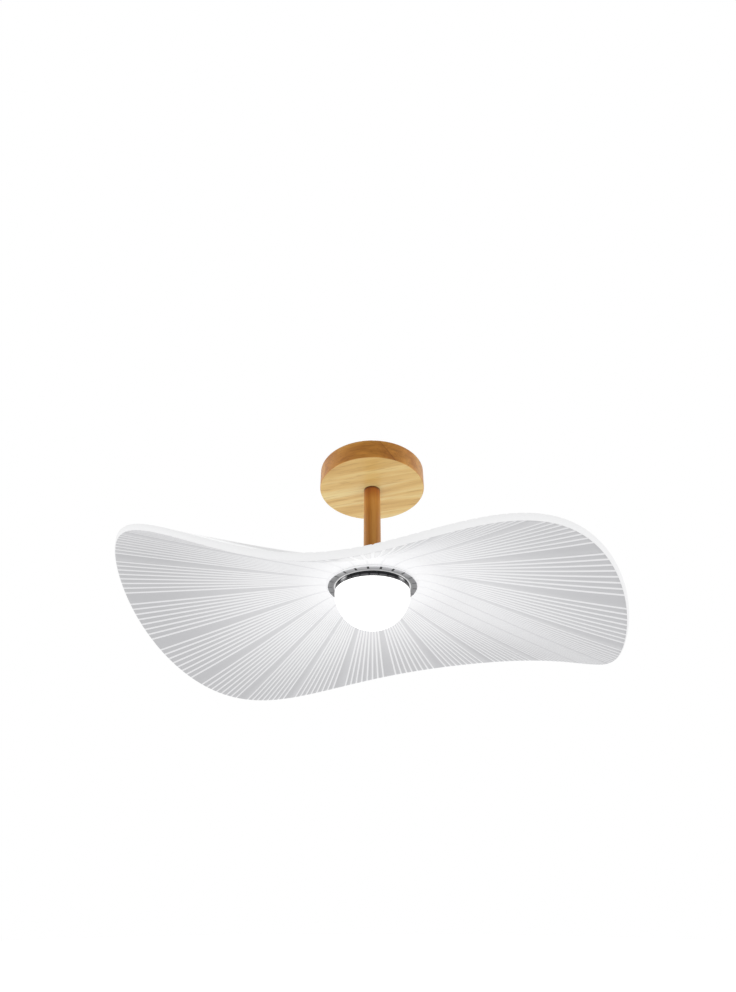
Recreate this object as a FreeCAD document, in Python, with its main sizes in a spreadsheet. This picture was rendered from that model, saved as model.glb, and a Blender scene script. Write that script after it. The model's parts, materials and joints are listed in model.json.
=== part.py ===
# Semi-flush ceiling light: wooden canopy and stem, wavy light-guide disc, opal dome.
# Millimetres. +Z is up, and the origin is on the ceiling plane, on the axis of the stem.
import FreeCAD
import Part
import Sketcher

import math
import os

from FreeCAD import Placement, Rotation, Vector

# Driving dimensions: alias, value and what it measures.
SIZES = [
    ("canopy_radius", 60.0, "outside radius of the wooden canopy"),
    ("canopy_height", 24.0, "ceiling to the canopy's underside"),
    ("canopy_wall", 6.0, "thickness of the canopy's side"),
    ("canopy_floor", 8.0, "thickness of the canopy's floor"),
    ("canopy_round", 1.0, "rounding of the canopy's outer edges"),
    ("stem_radius", 9.5, "outside radius of the wooden stem"),
    ("stem_length", 100.4, "canopy to lamp head"),
    ("stem_play", 0.2, "radial room round the threaded tube in wood"),
    ("tube_radius", 5.0, "outside radius of the threaded tube"),
    ("tube_bore", 3.6, "inside radius of the threaded tube"),
    ("tube_tail", 1.6, "tube that stands out past a nut"),
    ("thread_play", 0.05, "radial room in a threaded hole"),
    ("nut_flats", 14.0, "width across the flats of the tube nuts"),
    ("nut_height", 5.0, "height of the tube nuts"),
    ("washer_radius", 11.0, "outside radius of the tube washers"),
    ("washer_height", 1.5, "thickness of the tube washers"),
    ("bush_wall", 0.9, "wall of the plastic bushes in the tube"),
    ("bush_length", 7.0, "length of a bush inside the tube"),
    ("bush_lip", 0.8, "thickness of a bush's lip"),
    ("strap_width", 24.0, "width of the mounting bracket"),
    ("strap_sheet", 1.5, "sheet thickness of the mounting bracket"),
    ("strap_gap", 0.3, "room between the bracket's tabs and the canopy"),
    ("tab_width", 16.0, "width of the bracket's bent tabs"),
    ("tab_drop", 13.0, "ceiling to the lower end of a tab"),
    ("slot_spacing", 66.0, "distance between the ceiling screw slots"),
    ("slot_length", 14.0, "end-to-end length of a ceiling screw slot"),
    ("slot_radius", 2.5, "half the width of a ceiling screw slot"),
    ("cable_hole", 6.0, "radius of the cable hole in the bracket"),
    ("side_screw_radius", 2.0, "thread radius of the canopy screws"),
    ("side_screw_length", 12.0, "length of a canopy screw under its head"),
    ("side_screw_head", 3.8, "head radius of the canopy screws"),
    ("side_screw_cap", 2.6, "head height of the canopy screws"),
    ("side_screw_level", 8.0, "ceiling to the canopy screws"),
    ("side_screw_sink", 3.0, "depth of the recess for a canopy screw's head"),
    ("screw_play", 0.3, "radial room round a screw that only passes through"),
    ("earth_x", 16.0, "earth screw from the middle, along the bracket"),
    ("earth_y", 7.5, "earth screw from the bracket's centre line"),
    ("earth_radius", 2.0, "thread radius of the earth screw"),
    ("earth_head", 3.6, "head radius of the earth screw"),
    ("earth_cap", 2.2, "head height of the earth screw"),
    ("earth_eye", 3.9, "outside radius of the earth lead's eye"),
    ("earth_tag", 0.8, "thickness of the earth lead's eye"),
    ("block_width", 16.0, "terminal block from front to back"),
    ("block_height", 10.0, "height of the terminal block"),
    ("block_offset", 14.0, "axis to the terminal block's front"),
    ("way_pitch", 10.0, "distance between the ways of the terminal block"),
    ("way_radius", 1.7, "radius of a wire way through the terminal block"),
    ("way_level", 4.6, "canopy floor to the wire ways"),
    ("clamp_radius", 1.7, "radius of a terminal screw"),
    ("clamp_spread", 4.5, "terminal screws from the block's centre line"),
    ("fixing_radius", 1.3, "radius of the terminal block's wood screws"),
    ("fixing_head", 2.3, "head radius of the terminal block's wood screws"),
    ("fixing_cap", 1.6, "head height of the terminal block's wood screws"),
    ("fixing_bite", 5.0, "how far those screws enter the canopy floor"),
    ("driver_offset", 13.0, "axis to the driver's front"),
    ("driver_width", 26.0, "driver from front to back"),
    ("driver_margin", 4.0, "room between the driver and the canopy's side"),
    ("driver_headroom", 5.0, "ceiling to the driver's lid"),
    ("driver_wall", 1.2, "wall of the driver's case and lid"),
    ("pad_height", 1.0, "thickness of the driver's adhesive pad"),
    ("post_height", 1.8, "height of the posts under the driver's board"),
    ("post_radius", 1.6, "radius of the posts and lid bosses in the driver"),
    ("board_sheet", 1.2, "thickness of the driver's board"),
    ("board_play", 0.6, "room round the driver's board"),
    ("lid_screw_radius", 0.9, "thread radius of the driver's lid screws"),
    ("lid_screw_head", 1.7, "head radius of the driver's lid screws"),
    ("lid_screw_length", 5.0, "length of a lid screw under its head"),
    ("core_length", 15.0, "length of the driver's transformer"),
    ("core_width", 12.0, "width of the driver's transformer"),
    ("core_height", 4.0, "height of the driver's transformer"),
    ("can_radius", 2.0, "radius of the driver's capacitors"),
    ("can_length", 9.0, "length of the driver's capacitors"),
    ("lead_radius", 0.9, "outside radius of the inner leads"),
    ("lead_spread", 1.25, "leads from the centre of the tube"),
    ("lead_hole", 1.2, "radius of a lead's hole in the driver or hub"),
    ("lead_level", 8.0, "ceiling to the leads at the driver"),
    ("lead_crest", 4.2, "ceiling to the leads above the tube"),
    ("lead_tail", 3.0, "length of lead inside the driver"),
    ("hub_neck", 13.0, "radius of the hub's top face"),
    ("hub_shoulder", 9.4, "height of the hub's sloping shoulder"),
    ("hub_radius", 43.0, "radius of the hub's flange"),
    ("hub_flange", 7.5, "thickness of the hub's flange"),
    ("hub_round", 1.5, "rounding of the hub flange's upper edge"),
    ("hub_crown", 7.0, "thickness of the hub above its chamber"),
    ("spigot_radius", 33.0, "radius of the hub where it passes the disc"),
    ("chamber_radius", 27.0, "radius of the hub's inner chamber"),
    ("strip_sheet", 0.8, "thickness of the edge strip"),
    ("strip_height", 5.0, "height of the edge strip"),
    ("glue_gap", 0.05, "glue line under strips and chips"),
    ("chip_height", 1.0, "how far an edge chip stands out"),
    ("chip_width", 3.5, "width of a chip"),
    ("chip_length", 2.8, "length of a chip"),
    ("group_count", 22.0, "edge chips, one for each group of lines"),
    ("gasket_sheet", 0.8, "thickness of the gaskets"),
    ("gasket_inset", 0.6, "gasket edge inside the edge of what it seals"),
    ("disc_play", 0.1, "room on each side of the disc's flat middle"),
    ("disc_hole", 36.0, "radius of the hole in the disc"),
    ("disc_flat", 50.0, "radius of the disc's flat middle"),
    ("disc_radius", 252.0, "radius of the disc before it was formed"),
    ("disc_sheet", 5.5, "thickness of the acrylic"),
    ("edge_droop", 51.8, "mean drop of the disc's edge"),
    ("tilt_height", 22.2, "once-round part of the wave"),
    ("tilt_angle", 116.5, "direction of its crest, in degrees"),
    ("saddle_height", 17.3, "twice-round part of the wave"),
    ("saddle_angle", 42.3, "direction of its first crest, in degrees"),
    ("lobe_height", 25.1, "three-times-round part of the wave"),
    ("lobe_angle", 70.6, "direction of its first crest, in degrees"),
    ("ripple_height", 7.8, "four-times-round part of the wave"),
    ("ripple_angle", 29.3, "direction of its first crest, in degrees"),
    ("flutter_height", 2.6, "five-times-round part of the wave"),
    ("flutter_angle", 19.0, "direction of its first crest, in degrees"),
    ("bend_share", 0.06, "share of the radius in which the droop begins"),
    ("edge_ease", 0.1, "how much the droop eases off towards the edge"),
    ("ring_radius", 47.5, "radius of the trim ring's flange"),
    ("ring_flange", 1.6, "thickness of the trim ring's flange"),
    ("ring_round", 0.8, "rounding of the trim ring's outer lower edge"),
    ("ring_web", 2.0, "thickness of the trim ring's web"),
    ("ring_hole", 24.0, "radius of the hole in the trim ring's web"),
    ("collar_radius", 38.4, "outside radius of the trim ring's collar"),
    ("collar_wall", 2.0, "wall of the trim ring's collar"),
    ("collar_drop", 5.9, "height of the collar below the flange"),
    ("plate_sheet", 2.5, "thickness of the board plate"),
    ("plate_radius", 33.0, "radius of the board plate"),
    ("plate_screw_circle", 30.0, "radius of the circle of plate screws"),
    ("plate_screw_radius", 1.5, "thread radius of the plate screws"),
    ("plate_screw_head", 2.7, "head radius of the plate screws"),
    ("plate_screw_cap", 1.8, "head height of the plate screws"),
    ("plate_screw_bite", 6.0, "how far the plate screws enter the hub"),
    ("pad_radius", 22.5, "radius of the thermal pad"),
    ("pad_sheet", 0.5, "thickness of the thermal pad"),
    ("lamp_radius", 24.0, "radius of the down light's board"),
    ("lamp_sheet", 1.6, "thickness of the down light's board"),
    ("lamp_chip", 0.9, "height of the down light's chips"),
    ("lamp_outer", 15.0, "radius of the outer circle of down chips"),
    ("lamp_inner", 7.5, "radius of the inner circle of down chips"),
    ("lamp_screw_circle", 20.5, "radius of the circle of board screws"),
    ("lamp_screw_radius", 1.2, "thread radius of the board screws"),
    ("lamp_screw_head", 2.1, "head radius of the board screws"),
    ("lamp_screw_cap", 1.2, "head height of the board screws"),
    ("plug_length", 12.0, "length of the LED connector"),
    ("plug_width", 8.0, "width of the LED connector"),
    ("plug_height", 6.5, "height of the LED connector"),
    ("strip_lead_drop", 1.6, "connector's top to the edge strip's leads"),
    ("pin_radius", 0.5, "radius of the connector's pins"),
    ("pin_spread", 2.5, "connector pins from the centre"),
    ("pin_hole", 1.1, "radius of the pin holes in plate and board"),
    ("dome_radius", 39.5, "outside radius of the opal dome"),
    ("dome_wall", 2.4, "wall of the opal dome"),
    ("dome_seat", 0.2, "gap between the dome's shoulder and the collar"),
    ("neck_play", 0.4, "radial room between the dome's neck and the collar"),
    ("neck_height", 4.6, "height of the dome's neck in the collar"),
    ("neck_wall", 2.4, "wall of the dome's neck"),
    ("seal_radius", 0.75, "section radius of the dome's seal"),
    ("seal_play", 0.05, "radial room between the seal and the collar"),
    ("seal_level", 2.3, "dome's shoulder to the middle of the seal"),
    ("groove_play", 0.3, "room between the seal and its groove in the neck"),
]

PLATE_SCREW_COUNT = 3
BOARD_SCREW_COUNT = 3
OUTER_CHIP_COUNT = 12
INNER_CHIP_COUNT = 6
WAYS = (-1, 0, 1)
SIDES = (-1, 1)
NUT_SIDE_COUNT = 6
SECTION_COUNT = 45
FLAT_STATION_COUNT = 4
BEND_STATION_COUNT = 20
STATION_STEP_COUNT = 5
STATION_CROWDING = 1.6

doc = FreeCAD.newDocument("ceiling_light")
sheet = doc.addObject("Spreadsheet::Sheet", "size")
for row, (alias, number, note) in enumerate(SIZES, 1):
    sheet.set(f"A{row}", note)
    sheet.set(f"B{row}", str(number))
    sheet.setAlias(f"B{row}", alias)
doc.recompute()

# Levels down the axis, as expressions of the driving dimensions.
FLOOR_TOP = "(size.canopy_floor - size.canopy_height)"
CANOPY_FOOT = "(-size.canopy_height)"
TUBE_TOP = f"({FLOOR_TOP} + size.washer_height + size.nut_height + size.tube_tail)"
STEM_FOOT = f"({CANOPY_FOOT} - size.stem_length)"
SHOULDER_FOOT = f"({STEM_FOOT} - size.hub_shoulder)"
HUB_SEAT = f"({SHOULDER_FOOT} - size.hub_flange)"
CHAMBER_TOP = f"({STEM_FOOT} - size.hub_crown)"
TUBE_FOOT = f"({CHAMBER_TOP} - size.washer_height - size.nut_height - size.tube_tail)"
DISC_TOP = f"({HUB_SEAT} - size.gasket_sheet - size.disc_play)"
DISC_FOOT = f"({DISC_TOP} - size.disc_sheet)"
RING_TOP = f"({DISC_FOOT} - size.disc_play - size.gasket_sheet)"
RING_FOOT = f"({RING_TOP} - size.ring_flange)"
WEB_FOOT = f"({RING_TOP} - size.ring_web)"
PLATE_FOOT = f"({WEB_FOOT} - size.plate_sheet)"
PAD_FOOT = f"({PLATE_FOOT} - size.pad_sheet)"
LAMP_FOOT = f"({PAD_FOOT} - size.lamp_sheet)"
COLLAR_FOOT = f"({RING_FOOT} - size.collar_drop)"
COLLAR_BORE = "(size.collar_radius - size.collar_wall)"
DOME_TOP = f"({COLLAR_FOOT} - size.dome_seat)"
NECK_RADIUS = f"({COLLAR_BORE} - size.neck_play)"
NECK_BORE = f"({NECK_RADIUS} - size.neck_wall)"
SEAL_CIRCLE = f"({COLLAR_BORE} - size.seal_play - size.seal_radius)"
CANOPY_BORE = "(size.canopy_radius - size.canopy_wall)"
THREAD_HOLE = "(size.tube_radius + size.thread_play)"
WOOD_HOLE = "(size.tube_radius + size.stem_play)"
TAB_FACE = f"(sqrt({CANOPY_BORE}^2 - size.strap_width^2 / 4) - size.strap_gap)"
DRIVER_BACK = "(size.driver_offset + size.driver_width)"
DRIVER_HALF = f"sqrt(({CANOPY_BORE} - size.driver_margin)^2 - {DRIVER_BACK}^2)"
DRIVER_FOOT = f"({FLOOR_TOP} + size.pad_height)"
DRIVER_TOP = "(-size.driver_headroom)"
LID_FOOT = f"({DRIVER_TOP} - size.driver_wall)"
BOARD_FOOT = f"({DRIVER_FOOT} + size.driver_wall + size.post_height)"
BOARD_TOP = f"({BOARD_FOOT} + size.board_sheet)"
BLOCK_TOP = f"({FLOOR_TOP} + size.block_height)"
BLOCK_MIDDLE = "(-size.block_offset - size.block_width / 2)"
STRIP_FACE = "(size.spigot_radius + size.glue_gap + size.strip_sheet)"
STRIP_LEAD_LEVEL = f"({WEB_FOOT} + size.plug_height - size.strip_lead_drop)"
DISC_MIDDLE = f"({DISC_TOP} - size.disc_sheet / 2)"

nodes = []


def value(expression):
    """The number that an expression of the sheet stands for."""
    return float(sheet.evalExpression(str(expression)))


def keep(thing, label):
    """Give a finished sub-part the name of its node."""
    thing.Label = label
    nodes.append(thing)
    return thing


def bind(thing, **expressions):
    """Tie properties of an object to the sheet."""
    for name, expression in expressions.items():
        thing.setExpression(name, expression)
    return thing


def place(thing, x, y, z):
    """Tie an object's position to the sheet."""
    for axis, expression in zip("xyz", (x, y, z)):
        thing.setExpression(f"Placement.Base.{axis}", expression)
    return thing


def cylinder(name, radius, height, x="0", y="0", z="0", along=Vector(0, 0, 1)):
    """A round bar that starts at a point and runs along a direction."""
    bar = doc.addObject("Part::Cylinder", name)
    bar.Placement = Placement(Vector(), Rotation(Vector(0, 0, 1), along))
    bind(bar, Radius=radius, Height=height)
    return place(bar, x, y, z)


def box(name, length, width, height, x, y, z):
    """A block given by its lowest corner."""
    block = doc.addObject("Part::Box", name)
    bind(block, Length=length, Width=width, Height=height)
    return place(block, x, y, z)


def fuse(name, parts):
    """One solid from several."""
    joined = doc.addObject("Part::MultiFuse", name)
    joined.Shapes = parts
    joined.Refine = True
    return joined


def cut(name, base, tools):
    """A solid with others taken out of it."""
    cutter = tools[0] if len(tools) == 1 else fuse(f"{name}_cutters", tools)
    result = doc.addObject("Part::Cut", name)
    result.Base = base
    result.Tool = cutter
    return result


def group(name, members):
    """Separate identical solids in one node."""
    together = doc.addObject("Part::Compound", name)
    together.Links = members
    return together


def arc_about_axis(start, end):
    """The arc between two profile points whose centre lies on the axis of turning."""
    rise = end.y - start.y
    centre_height = (end.x ** 2 + end.y ** 2 - start.x ** 2 - start.y ** 2) / (2 * rise)
    centre = Vector(0, centre_height, 0)
    circle = Part.Circle(centre, Vector(0, 0, 1), (start - centre).Length)
    angles = sorted(math.atan2(p.y - centre_height, p.x) for p in (start, end))
    return Part.ArcOfCircle(circle, *angles)


def turned(name, corners, arcs=()):
    """A body turned about Z from corners given as (radius, height) expressions.

    A corner whose place in the list is in arcs starts an arc; the others start straight lines.
    """
    body = doc.addObject("PartDesign::Body", name)
    profile = body.newObject("Sketcher::SketchObject", f"{name}_profile")
    plane = next(f for f in body.Origin.OriginFeatures if f.Role == "XZ_Plane")
    profile.AttachmentSupport = [(plane, "")]
    profile.MapMode = "FlatFace"
    points = [Vector(value(radius), value(height), 0) for radius, height in corners]
    first_ends = []
    last_ends = []
    for index, start in enumerate(points):
        end = points[(index + 1) % len(points)]
        if index in arcs:
            edge = profile.addGeometry(arc_about_axis(start, end))
            backwards = start.y > end.y
            first_ends.append((edge, 2 if backwards else 1))
            last_ends.append((edge, 1 if backwards else 2))
            profile.addConstraint(Sketcher.Constraint("PointOnObject", edge, 3, -2))
        else:
            edge = profile.addGeometry(Part.LineSegment(start, end))
            first_ends.append((edge, 1))
            last_ends.append((edge, 2))
    for index, (radius, height) in enumerate(corners):
        corner = first_ends[index]
        profile.addConstraint(Sketcher.Constraint("Coincident", *last_ends[index - 1], *corner))
        if radius == "0":
            profile.addConstraint(Sketcher.Constraint("PointOnObject", *corner, -2))
        else:
            lock(profile, "DistanceX", corner, points[index].x, f"radius{index}", radius)
        lock(profile, "DistanceY", corner, points[index].y, f"height{index}", height)
    turn = body.newObject("PartDesign::Revolution", f"{name}_turn")
    turn.Profile = profile
    turn.ReferenceAxis = (profile, ["V_Axis"])
    turn.Angle = 360
    body.Tip = turn
    doc.recompute()
    return body


def lock(profile, kind, corner, number, name, expression):
    """Tie one coordinate of a profile's corner to the sheet."""
    constraint = profile.addConstraint(Sketcher.Constraint(kind, -1, 1, *corner, number))
    profile.renameConstraint(constraint, name)
    profile.setExpression(f"Constraints.{name}", expression)


def round_rim(body, rims, radius):
    """Round the circular edges of a turned body that have these (radius, height) expressions."""
    wanted = [(value(rim_radius), value(height)) for rim_radius, height in rims]
    names = []
    for number, edge in enumerate(body.Tip.Shape.Edges, 1):
        if not isinstance(edge.Curve, Part.Circle):
            continue
        found = (edge.Curve.Radius, edge.Curve.Center.z)
        if any(math.dist(found, rim) < 1e-4 for rim in wanted):
            names.append(f"Edge{number}")
    base = body.Tip
    rounding = body.newObject("PartDesign::Fillet", f"{body.Name}_rounding")
    rounding.Base = (base, names)
    bind(rounding, Radius=radius)
    body.Tip = rounding
    doc.recompute()
    return body


def ring_outline(inner, outer, top, foot):
    """Profile corners of a plain ring."""
    return [(inner, top), (outer, top), (outer, foot), (inner, foot)]


def on_circle(radius, index, count):
    """Place of one of several things on a circle, as expressions for x and y."""
    turn = f"({index} * 360 deg / ({count}))"
    return f"{radius} * cos({turn})", f"{radius} * sin({turn})"


def screw(name, head, cap, radius, length, x, y, z, along):
    """A screw whose head's underside is at a point, with the shank running along a direction."""
    shank = cylinder(f"{name}_shank", radius, length, x, y, z, along)
    crown = cylinder(f"{name}_head", head, cap, x, y, z, along * -1)
    return fuse(name, [shank, crown])


UP = Vector(0, 0, 1)
DOWN = Vector(0, 0, -1)


def lead(points, radii):
    """A round lead along straight runs joined by tangent arcs of the given radii."""
    edges = []
    start = points[0]
    for corner, following, radius in zip(points[1:-1], points[2:], radii):
        back = (start - corner).normalize()
        onward = (following - corner).normalize()
        half_turn = (math.pi - back.getAngle(onward)) / 2
        reach = radius * math.tan(half_turn)
        middle = (back + onward).normalize()
        centre = corner + middle * (radius / math.cos(half_turn))
        arc_start = corner + back * reach
        arc_end = corner + onward * reach
        edges.append(Part.LineSegment(start, arc_start).toShape())
        edges.append(Part.Arc(arc_start, centre - middle * radius, arc_end).toShape())
        start = arc_end
    edges.append(Part.LineSegment(start, points[-1]).toShape())
    spine = Part.Wire(edges)
    direction = points[1] - points[0]
    section = Part.Wire(Part.makeCircle(value("size.lead_radius"), points[0], direction))
    return spine.makePipeShell([section], True, True)


def leads_node(label, shapes):
    """Several leads in one node."""
    node = doc.addObject("Part::Feature", label)
    node.Shape = Part.makeCompound(shapes)
    return keep(node, label)


def make_bracket():
    """Slotted strap against the ceiling, with a bent tab at each end for the canopy screws."""
    strap = box("strap", f"2 * {TAB_FACE}", "size.strap_width", "size.strap_sheet",
                f"-{TAB_FACE}", "-size.strap_width / 2", "-size.strap_sheet")
    solids = [strap]
    holes = [cylinder("strap_cable_hole", "size.cable_hole", "size.strap_sheet", z="-size.strap_sheet"),
             cylinder("strap_earth_hole", "size.earth_radius + size.thread_play", "size.strap_sheet",
                      "size.earth_x", "size.earth_y", "-size.strap_sheet")]
    for side in SIDES:
        outer = f"{side} * {TAB_FACE}"
        inner = f"{TAB_FACE} - size.strap_sheet" if side > 0 else outer
        solids.append(box("strap_tab", "size.strap_sheet", "size.tab_width", "size.tab_drop",
                          inner, "-size.tab_width / 2", "-size.tab_drop"))
        holes.append(cylinder("strap_tab_hole", "size.side_screw_radius + size.thread_play",
                              "2 * size.strap_sheet", f"{side} * ({TAB_FACE} - 2 * size.strap_sheet)",
                              "0", "-size.side_screw_level", Vector(side, 0, 0)))
        straight = "(size.slot_length - 2 * size.slot_radius)"
        centre = f"{side} * size.slot_spacing / 2"
        holes.append(box("strap_slot", straight, "2 * size.slot_radius", "size.strap_sheet",
                         f"{centre} - {straight} / 2", "-size.slot_radius", "-size.strap_sheet"))
        for end in SIDES:
            holes.append(cylinder("strap_slot_end", "size.slot_radius", "size.strap_sheet",
                                  f"{centre} + {end} * {straight} / 2", "0", "-size.strap_sheet"))
    keep(cut("bracket", fuse("bracket_blank", solids), holes), "mounting_bracket")


def make_canopy():
    """Turned wooden canopy, hollow from above, with a recessed screw hole on each side."""
    blank = turned("canopy_blank", [
        (WOOD_HOLE, FLOOR_TOP), (CANOPY_BORE, FLOOR_TOP), (CANOPY_BORE, "0"), ("size.canopy_radius", "0"),
        ("size.canopy_radius", CANOPY_FOOT), (WOOD_HOLE, CANOPY_FOOT)])
    round_rim(blank, [("size.canopy_radius", CANOPY_FOOT), ("size.canopy_radius", "0")], "size.canopy_round")
    holes = []
    for side in SIDES:
        outward = Vector(side, 0, 0)
        holes.append(cylinder("canopy_side_hole", "size.side_screw_radius + size.screw_play",
                              "2 * size.canopy_wall", f"{side} * ({CANOPY_BORE} - size.canopy_wall / 2)",
                              "0", "-size.side_screw_level", outward))
        holes.append(cylinder("canopy_side_recess", "size.side_screw_head + size.screw_play",
                              "2 * size.side_screw_sink",
                              f"{side} * (size.canopy_radius - size.side_screw_sink)",
                              "0", "-size.side_screw_level", outward))
        holes.append(cylinder("canopy_fixing_hole", "size.fixing_radius + size.thread_play",
                              "size.fixing_bite", f"{side} * size.way_pitch / 2", BLOCK_MIDDLE,
                              FLOOR_TOP, DOWN))
    keep(cut("canopy_turned", blank, holes), "canopy")
    screws = []
    for side in SIDES:
        screws.append(screw("side_screw", "size.side_screw_head", "size.side_screw_cap",
                            "size.side_screw_radius", "size.side_screw_length",
                            f"{side} * (size.canopy_radius - size.side_screw_sink)", "0",
                            "-size.side_screw_level", Vector(-side, 0, 0)))
    keep(group("side_screws", screws), "canopy_screws")


def make_earth():
    """Earth screw under the bracket, and the lead whose eye it clamps."""
    tag_foot = "(-size.strap_sheet - size.earth_tag)"
    keep(screw("earth_bolt", "size.earth_head", "size.earth_cap", "size.earth_radius",
               f"-{tag_foot}", "size.earth_x", "size.earth_y", tag_foot, UP), "earth_screw")
    eye = cylinder("earth_eye", "size.earth_eye", "size.earth_tag", "size.earth_x", "size.earth_y", tag_foot)
    tongue_end = "(size.earth_y - size.earth_eye - size.lead_tail)"
    tongue = box("earth_tongue", "2 * size.lead_radius", f"size.earth_y - {tongue_end}", "size.earth_tag",
                 "size.earth_x - size.lead_radius", tongue_end, tag_foot)
    hole = cylinder("earth_eye_hole", "size.earth_radius + size.screw_play", "size.earth_tag",
                    "size.earth_x", "size.earth_y", tag_foot)
    ring = cut("earth_ring", fuse("earth_ring_blank", [eye, tongue]), [hole])
    way = value("size.way_pitch")
    bend = value("size.lead_crest")
    front = -value("size.block_offset")
    entry = Vector(way, front - value("size.lead_tail"), value(FLOOR_TOP) + value("size.way_level"))
    finish = Vector(value("size.earth_x"), value("size.earth_y - size.earth_eye"),
                    -value("size.strap_sheet + size.lead_radius + size.glue_gap"))
    wire = doc.addObject("Part::Feature", "earth_wire")
    wire.Shape = lead([entry, Vector(way, front + bend, entry.z),
                       Vector(finish.x, finish.y - bend, finish.z), finish], (bend, bend))
    keep(fuse("earth_wire_and_eye", [ring, wire]), "earth_lead")


def make_terminal():
    """Three-way terminal block on the canopy's floor, with its clamping and fixing screws."""
    length = "(4 * size.way_pitch - 2 * size.way_radius)"
    blank = box("block_blank", length, "size.block_width", "size.block_height",
                f"-{length} / 2", "-size.block_offset - size.block_width", FLOOR_TOP)
    holes = []
    clamps = []
    for way in WAYS:
        x = f"{way} * size.way_pitch"
        holes.append(cylinder("block_way", "size.way_radius", "size.block_width", x,
                              "-size.block_offset", f"{FLOOR_TOP} + size.way_level", Vector(0, -1, 0)))
        for side in SIDES:
            y = f"{BLOCK_MIDDLE} + {side} * size.clamp_spread"
            foot = f"({FLOOR_TOP} + size.way_level + size.lead_radius)"
            holes.append(cylinder("block_clamp_hole", "size.clamp_radius + size.thread_play",
                                  f"{BLOCK_TOP} - {foot}", x, y, foot))
            clamps.append(cylinder("clamp", "size.clamp_radius", f"{BLOCK_TOP} - {foot}", x, y, foot))
    fixings = []
    for side in SIDES:
        x = f"{side} * size.way_pitch / 2"
        holes.append(cylinder("block_fixing_hole", "size.fixing_radius + size.screw_play",
                              "size.block_height", x, BLOCK_MIDDLE, FLOOR_TOP))
        head_foot = f"({BLOCK_TOP} - size.fixing_cap)"
        holes.append(cylinder("block_fixing_recess", "size.fixing_head + size.screw_play",
                              "size.fixing_cap", x, BLOCK_MIDDLE, head_foot))
        fixings.append(screw("fixing", "size.fixing_head", "size.fixing_cap", "size.fixing_radius",
                             f"{head_foot} - {FLOOR_TOP} + size.fixing_bite", x, BLOCK_MIDDLE,
                             head_foot, DOWN))
    keep(cut("block", blank, holes), "terminal_block")
    keep(group("clamps", clamps), "terminal_screws")
    keep(group("fixings", fixings), "terminal_fixings")


def make_driver():
    """Power supply beside the tube nut: taped-down case, board on posts, screwed lid."""
    keep(box("tape", f"2 * {DRIVER_HALF}", "size.driver_width", "size.pad_height",
             f"-{DRIVER_HALF}", "size.driver_offset", FLOOR_TOP), "driver_pad")
    outer = box("case_outer", f"2 * {DRIVER_HALF}", "size.driver_width", f"{LID_FOOT} - {DRIVER_FOOT}",
                f"-{DRIVER_HALF}", "size.driver_offset", DRIVER_FOOT)
    inner = box("case_inner", f"2 * ({DRIVER_HALF} - size.driver_wall)",
                "size.driver_width - 2 * size.driver_wall", f"{LID_FOOT} - {DRIVER_FOOT}",
                f"size.driver_wall - {DRIVER_HALF}", "size.driver_offset + size.driver_wall",
                f"{DRIVER_FOOT} + size.driver_wall")
    middle = "(size.driver_offset + size.driver_width / 2)"
    posts = []
    boss_holes = []
    board_notches = []
    screws = []
    lid_holes = []
    for side in SIDES:
        boss_x = f"{side} * ({DRIVER_HALF} - size.driver_wall - size.post_radius / 2)"
        posts.append(cylinder("case_boss", "size.post_radius", f"{LID_FOOT} - {DRIVER_FOOT}",
                              boss_x, middle, DRIVER_FOOT))
        boss_holes.append(cylinder("case_boss_hole", "size.lid_screw_radius + size.thread_play",
                                   "size.lid_screw_length", boss_x, middle, LID_FOOT, DOWN))
        board_notches.append(cylinder("board_notch", "size.post_radius + size.board_play",
                                      "size.board_sheet", boss_x, middle, BOARD_FOOT))
        lid_holes.append(cylinder("lid_hole", "size.lid_screw_radius + size.screw_play",
                                  "size.driver_wall", boss_x, middle, LID_FOOT))
        screws.append(screw("lid_screw", "size.lid_screw_head", "size.driver_wall", "size.lid_screw_radius",
                            "size.lid_screw_length", boss_x, middle, DRIVER_TOP, DOWN))
        for end in SIDES:
            posts.append(cylinder("case_post", "size.post_radius", "size.driver_wall + size.post_height",
                                  f"{side} * {DRIVER_HALF} / 2",
                                  f"{middle} + {end} * size.driver_width / 4", DRIVER_FOOT))
    wall_holes = [cylinder("case_lead_hole", "size.lead_hole", "2 * size.driver_wall", x,
                           "size.driver_offset - size.driver_wall / 2", "-size.lead_level", Vector(0, 1, 0))
                  for x in lead_entries()]
    tray = cut("case_tray", outer, [inner])
    keep(cut("case", fuse("case_with_posts", [tray] + posts), boss_holes + wall_holes), "driver_case")
    keep(cut("lid", box("lid_blank", f"2 * {DRIVER_HALF}", "size.driver_width", "size.driver_wall",
                        f"-{DRIVER_HALF}", "size.driver_offset", LID_FOOT), lid_holes), "driver_lid")
    keep(group("lid_screw_pair", screws), "lid_screws")
    margin = "(size.driver_wall + size.board_play)"
    board_blank = box("board_blank", f"2 * ({DRIVER_HALF} - {margin})", f"size.driver_width - 2 * {margin}",
                      "size.board_sheet", f"{margin} - {DRIVER_HALF}", f"size.driver_offset + {margin}",
                      BOARD_FOOT)
    keep(cut("board", board_blank, board_notches), "driver_board")
    keep(box("core", "size.core_length", "size.core_width", "size.core_height", "-size.core_length / 2",
             f"{DRIVER_BACK} - {margin} - size.core_width", BOARD_TOP), "driver_transformer")
    cans = [cylinder("can", "size.can_radius", "size.can_length",
                     f"{side} * (size.core_length / 2 + 2 * size.can_radius)",
                     f"{DRIVER_BACK} - {margin} - size.can_length", f"{BOARD_TOP} + size.can_radius",
                     Vector(0, 1, 0)) for side in SIDES]
    keep(group("cans", cans), "driver_capacitors")


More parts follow.
